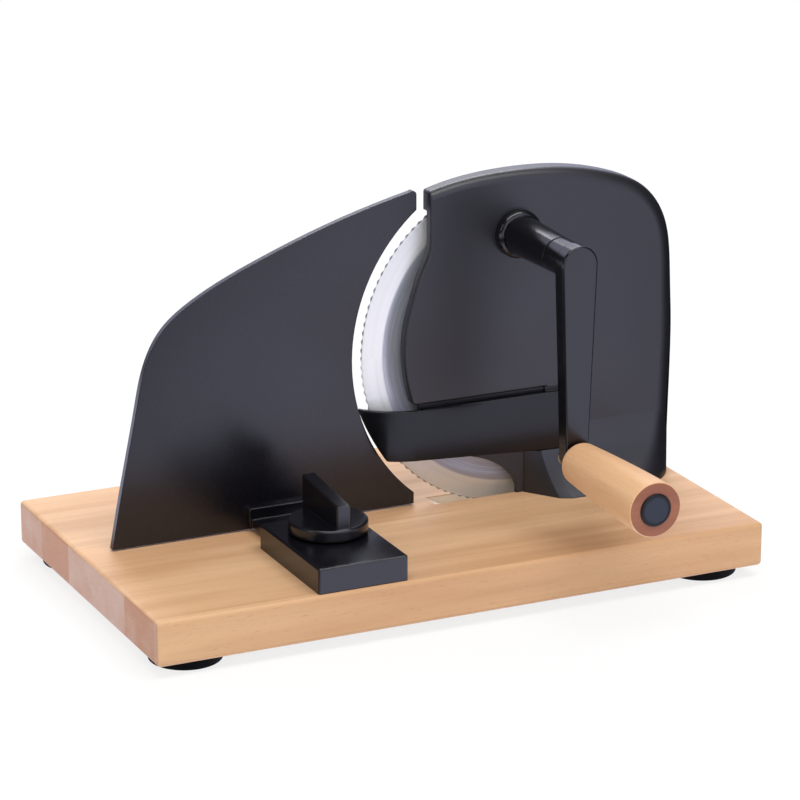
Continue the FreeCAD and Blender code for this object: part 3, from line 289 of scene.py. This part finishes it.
def blade_steel(name):
    """Stainless steel ground in circles round the blade's axis, with a painted reflection on its bevel, painted
    highlight rings and painted shade in the gullets of its teeth.
    """
    shader = Shader(name)
    across, up, radius = shader.round_y(BLADE_AXIS)
    angle = shader.math("ARCTAN2", up, across)
    polar = shader.add("CombineXYZ", {0: radius, 1: shader.math("MULTIPLY", angle, 0.0006)}).outputs[0]
    fine = shader.noise(polar, 2600.0, 3.0, 0.65)
    broad = shader.noise(polar, 420.0, 2.0, 0.5)
    # Painted reflection: the ground bevel is painted near white against the flat's cool grey.
    ground = shader.fit(radius, BLADE_RADIUS - BEVEL - 0.0006, BLADE_RADIUS - BEVEL + 0.0006)
    colour = shader.mix(ground, srgb(178, 182, 196), srgb(241, 242, 240))
    # Painted highlights: thin rings at random radii are painted lighter.
    line = shader.noise(polar, 1500.0, 1.0, 0.5)
    colour = shader.mix(shader.fit(line, 0.56, 0.66, 0.0, 0.35), colour, srgb(236, 238, 244))
    colour = shader.shade(colour, fine, 0.06)
    colour = shader.shade(colour, broad, 0.10)
    # Painted shade: the gullets of the teeth at the rim are painted dark, patchy round the rim.
    rim = shader.fit(radius, BLADE_RADIUS - 0.0013, BLADE_RADIUS - 0.0008)
    teeth = shader.math("COSINE", shader.math("MULTIPLY", angle, float(TOOTH_COUNT)))
    patch = shader.fit(shader.noise(polar, 300.0, 2.0, 0.6), 0.35, 0.6, 0.35, 1.0)
    gullet_shade = shader.math("MULTIPLY", rim, shader.fit(teeth, -1.0, 0.6, 0.35, 0.9))
    colour = shader.mix(shader.math("MULTIPLY", gullet_shade, patch), colour, srgb(46, 48, 52))
    relief = shader.math("ADD", fine, shader.math("MULTIPLY", broad, 0.6))
    tangent = shader.add("Tangent", direction_type="RADIAL", axis="Y").outputs[0]
    return shader.finish({
        "Base Color": colour,
        "Metallic": shader.fit(ground, 0.0, 1.0, 0.38, 0.5),
        "Roughness": shader.fit(fine, 0.2, 0.8, 0.4, 0.52),
        "Anisotropic": 0.85,
        "Tangent": tangent,
        "Normal": shader.bump(relief, 0.000012, 0.7),
    })


def end_cap(name):
    """Blue-grey moulded cap round the grip's axis, with painted shade: its outer part is painted black for a
    groove round it.
    """
    shader = Shader(name)
    _, _, radius = shader.round_y(GRIP_AXIS)
    speck = shader.noise(shader.place, 1500.0, 3.0, 0.6)
    cloud = shader.noise(shader.place, 260.0, 2.0, 0.5)
    inside = shader.shade(shader.shade(srgb(38, 45, 55), cloud, 0.18), speck, 0.1)
    # Painted shade: the cap's outer part is painted black as the shade of a groove round the cap.
    rim = shader.fit(radius, CAP_RADIUS * 0.74, CAP_RADIUS * 0.82)
    return shader.finish({
        "Base Color": shader.mix(rim, inside, srgb(10, 9, 10)),
        "Roughness": shader.fit(speck, 0.2, 0.8, 0.46, 0.58),
        "Specular IOR Level": 0.3,
        "Normal": shader.bump(speck, 0.00005, 0.5),
    })


def rubber(name):
    """Matt black rubber."""
    shader = Shader(name)
    speck = shader.noise(shader.place, 900.0, 3.0, 0.6)
    return shader.finish({
        "Base Color": shader.shade(srgb(7, 7, 7), speck, 0.2),
        "Roughness": shader.fit(speck, 0.2, 0.8, 0.68, 0.82),
        "Specular IOR Level": 0.08,
        "Normal": shader.bump(speck, 0.00005, 0.6),
    })


# Mesh helpers

def placed(name, data):
    piece = bpy.data.objects.new(name, data)
    bpy.context.scene.collection.objects.link(piece)
    return piece


def lathe_y(name, profile, centre, segments, shift=None):
    """A closed ring of (radius, y) turned round an axis along Y; shift moves points of the rim."""
    mesh = bpy.data.meshes.new(name)
    shape = bmesh.new()
    rings = []
    for step in range(segments):
        turn = 2 * math.pi * step / segments
        ring = []
        for index, (radius, y) in enumerate(profile):
            reach = radius + (shift(index, turn) if shift else 0.0)
            ring.append(shape.verts.new((
                centre.x + reach * math.cos(turn), y, centre.z + reach * math.sin(turn),
            )))
        rings.append(ring)
    count = len(profile)
    for step in range(segments):
        here = rings[step]
        there = rings[(step + 1) % segments]
        for index in range(count):
            following = (index + 1) % count
            shape.faces.new((here[index], here[following], there[following], there[index]))
    bmesh.ops.recalc_face_normals(shape, faces=shape.faces)
    shape.to_mesh(mesh)
    shape.free()
    return placed(name, mesh)


def smooth(piece, degrees=35.0):
    piece.data.polygons.foreach_set("use_smooth", [True] * len(piece.data.polygons))
    piece.data.set_sharp_from_angle(angle=math.radians(degrees))


def dress(piece, material):
    piece.data.materials.clear()
    piece.data.materials.append(material)


# Blade

def make_blade():
    """The toothed disc with its ground bevel and a shallow turned ring."""
    front = BLADE_LOW.y
    sunk = front + RING_DEPTH
    land = front + 0.00002
    back = BLADE_HIGH.y
    edge = back - 0.0004
    ring_out = BLADE_RADIUS - RING_OUTER
    ring_in = BLADE_RADIUS - RING_INNER
    bevel_in = BLADE_RADIUS - BEVEL
    slope = 0.0005
    break_in = 0.0002
    profile = [
        (BORE, front + break_in), (BORE + break_in, front),
        (ring_in, front), (ring_in + slope, sunk), (ring_out - slope, sunk), (ring_out, land),
        (bevel_in - 0.0003, land), (bevel_in, front + 0.00006),
        (BLADE_RADIUS - 0.0022, edge - 0.0003), (BLADE_RADIUS - 0.0008, edge),
        (BLADE_RADIUS, edge + 0.00025), (BLADE_RADIUS, back),
        (BLADE_RADIUS - 0.004, back), (BORE + break_in, back), (BORE, back - break_in),
    ]
    teeth_share = {9: 0.6, 10: 1.0, 11: 1.0}

    def bite(index, turn):
        """How far a point of the profile moves in the gullets; only the rim's three points do."""
        wave = 0.5 - 0.5 * math.cos(turn * TOOTH_COUNT)
        return -TOOTH_DEPTH * teeth_share.get(index, 0.0) * wave ** 0.7

    piece = lathe_y("blade_disc", profile, BLADE_AXIS, TOOTH_COUNT * TOOTH_STEPS, bite)
    smooth(piece, 30.0)
    return piece


blade_disc = make_blade()

# Finishes for the frame's nodes

# The board's last colour is painted light for the walls of the blade's slot.
beech_board = beech(
    "beech_board", "X", face=srgb(227, 185, 143), dark=srgb(197, 150, 108),
    ends=(srgb(184, 132, 96), srgb(196, 162, 142)), stave=0.043, rough=0.5, painted_light_inside=srgb(252, 236, 216),
)
beech_grip = beech(
    "beech_grip", "Y", face=srgb(228, 185, 142), dark=srgb(212, 162, 118),
    ends=(srgb(170, 108, 78), srgb(142, 86, 64)), stave=0.2, rough=0.42,
)
housing_black = coated("housing_black", srgb(14, 13, 18), rough=0.42, gloss=0.72)
plate_black = coated("plate_black", srgb(14, 13, 18), rough=0.26, gloss=0.56)
deflector_black = coated("deflector_black", srgb(12, 11, 14), rough=0.15, gloss=0.3)
knob_black = coated("knob_black", srgb(14, 13, 17), rough=0.2, grain=2200.0, gloss=0.55, edge=0.0012)
enamel_black = coated("enamel_black", srgb(11, 11, 14), rough=0.17, grain=1800.0)
cap_grey = end_cap("cap_grey")
zinc = metal("zinc", srgb(200, 200, 196), rough=0.34, grain=1400.0)
turned_steel = metal("turned_steel", srgb(206, 206, 208), rough=0.28, grain=1600.0)
bronze = metal("bronze", srgb(196, 160, 108), rough=0.33, grain=1400.0)
nylon = coated("nylon", srgb(232, 228, 214), rough=0.45, grain=900.0)
rubber_black = rubber("rubber_black")
steel = blade_steel("blade_steel")

FINISHES = {
    "board": beech_board, "rubber": rubber_black, "black_plastic": housing_black,
    "plate_plastic": plate_black, "deflector_plastic": deflector_black, "black_metal": enamel_black,
    "cap_plastic": cap_grey, "grip_beech": beech_grip, "blade_steel": steel, "zinc_steel": zinc,
    "steel_spacer": turned_steel, "bronze": bronze, "gear_nylon": nylon,
}
KNOB_NODES = ("clamp_knob", "guide_block", "slide_bracket")

slot_of = {part["node"]: part["material_slot"] for part in frame["record"]["subparts"]}
for name, node in nodes.items():
    finish = knob_black if name in KNOB_NODES else FINISHES[slot_of[name]]
    dress(node, finish)
    smooth(node)

dress(blade_disc, steel)
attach(blade_disc, "blade")
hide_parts("blade")


# Studio

def camera():
    data = bpy.data.cameras.new("camera")
    data.sensor_width = 36.0
    data.lens = FOCAL_LENGTH
    data.clip_end = 20.0
    eye = placed("camera", data)
    eye.location = EYE_PLACE
    eye.rotation_euler = (math.radians(90 - EYE_DOWN), 0.0, math.radians(-EYE_TURN))
    bpy.context.scene.camera = eye


def lamp(name, place, aim, size, power):
    data = bpy.data.lights.new(name, "AREA")
    data.shape = "RECTANGLE"
    data.size, data.size_y = size
    data.energy = power
    light = placed(name, data)
    light.location = place
    light.rotation_euler = (Vector(aim) - Vector(place)).to_track_quat("-Z", "Y").to_euler()


def sky():
    """White to the camera; in reflections bright near the horizon, dim overhead and at the sides."""
    world = Sky("studio")
    ray = world.add("LightPath").outputs
    x, _, z = world.axes()
    overhead = world.fit(z, 0.35, 0.75, GLARE, SKY_DIM, "SMOOTHSTEP")
    right = world.fit(x, 0.5, 0.8, 1.0, SKY_FLAG, "SMOOTHSTEP")
    left = world.fit(x, -0.6, -0.3, SKY_FLAG, 1.0, "SMOOTHSTEP")
    mirror = world.math("MULTIPLY", overhead, world.math("MULTIPLY", left, right))
    glossy = world.math("MULTIPLY", ray["Is Glossy Ray"], mirror)
    plain = world.math("MAXIMUM", ray["Is Camera Ray"], ray["Is Transmission Ray"])
    fill = world.math("MULTIPLY", ray["Is Diffuse Ray"], 0.55)
    level = world.math("MAXIMUM", world.math("MAXIMUM", glossy, plain), fill)
    tint = world.mix(ray["Is Glossy Ray"], WHITE, COOL)
    world.show(world.add("Background", {"Color": tint, "Strength": level}))


def floor():
    """Pale floor with the object's shadow; reflections see a bright floor with two dark flags on it."""
    mesh = bpy.data.meshes.new("floor")
    reach = 6.0
    corners = [(-reach, -reach, 0.0), (reach, -reach, 0.0), (reach, reach, 0.0), (-reach, reach, 0.0)]
    mesh.from_pydata(corners, [], [(0, 1, 2, 3)])
    plane = placed("floor", mesh)
    shader = Shader("floor_white")
    paper = shader.noise(shader.place, 3.0, 2.0)
    matt = shader.add("BsdfDiffuse", {"Color": shader.shade((0.88, 0.88, 0.88, 1.0), paper, 0.01)})
    ray = shader.add("LightPath").outputs
    x, y, _ = shader.axes()
    right = shader.fit(shader.math("MULTIPLY_ADD", y, 0.7, x), 0.12, 0.24, GLARE, FLOOR_FLAG)
    slant = shader.math("MULTIPLY_ADD", y, 0.6, x)
    near = shader.fit(slant, -0.30, -0.21, FLOOR_FLAG, 1.0)
    far = shader.fit(slant, -0.72, -0.62, 1.0, FLOOR_FLAG)
    mirror = shader.math("MULTIPLY", right, shader.math("MAXIMUM", near, far))
    tint = shader.mix(ray["Is Glossy Ray"], WHITE, COOL)
    level = shader.fit(ray["Is Glossy Ray"], 0.0, 1.0, 1.0, mirror)
    glow = shader.add("Emission", {"Color": tint, "Strength": level})
    plain = shader.math("MAXIMUM", ray["Is Camera Ray"], ray["Is Transmission Ray"])
    seen = shader.math("MAXIMUM", shader.math("MULTIPLY", plain, 0.8), ray["Is Glossy Ray"])
    shader.show(shader.add("MixShader", {0: seen, 1: matt.outputs[0], 2: glow.outputs[0]}))
    dress(plane, shader.material)


camera()
sky()
floor()
lamp("key", place=(0.0, -0.8, 2.1), aim=(0.0, 0.0, 0.05), size=(2.4, 0.9), power=35.0)
lamp("side", place=(-1.5, -0.4, 0.85), aim=(0.0, 0.0, 0.1), size=(0.35, 0.8), power=2.5)
lamp("back", place=(0.5, 1.3, 1.5), aim=(0.0, 0.0, 0.1), size=(1.0, 0.5), power=16.0)

bpy.context.scene.view_settings.view_transform = "Standard"
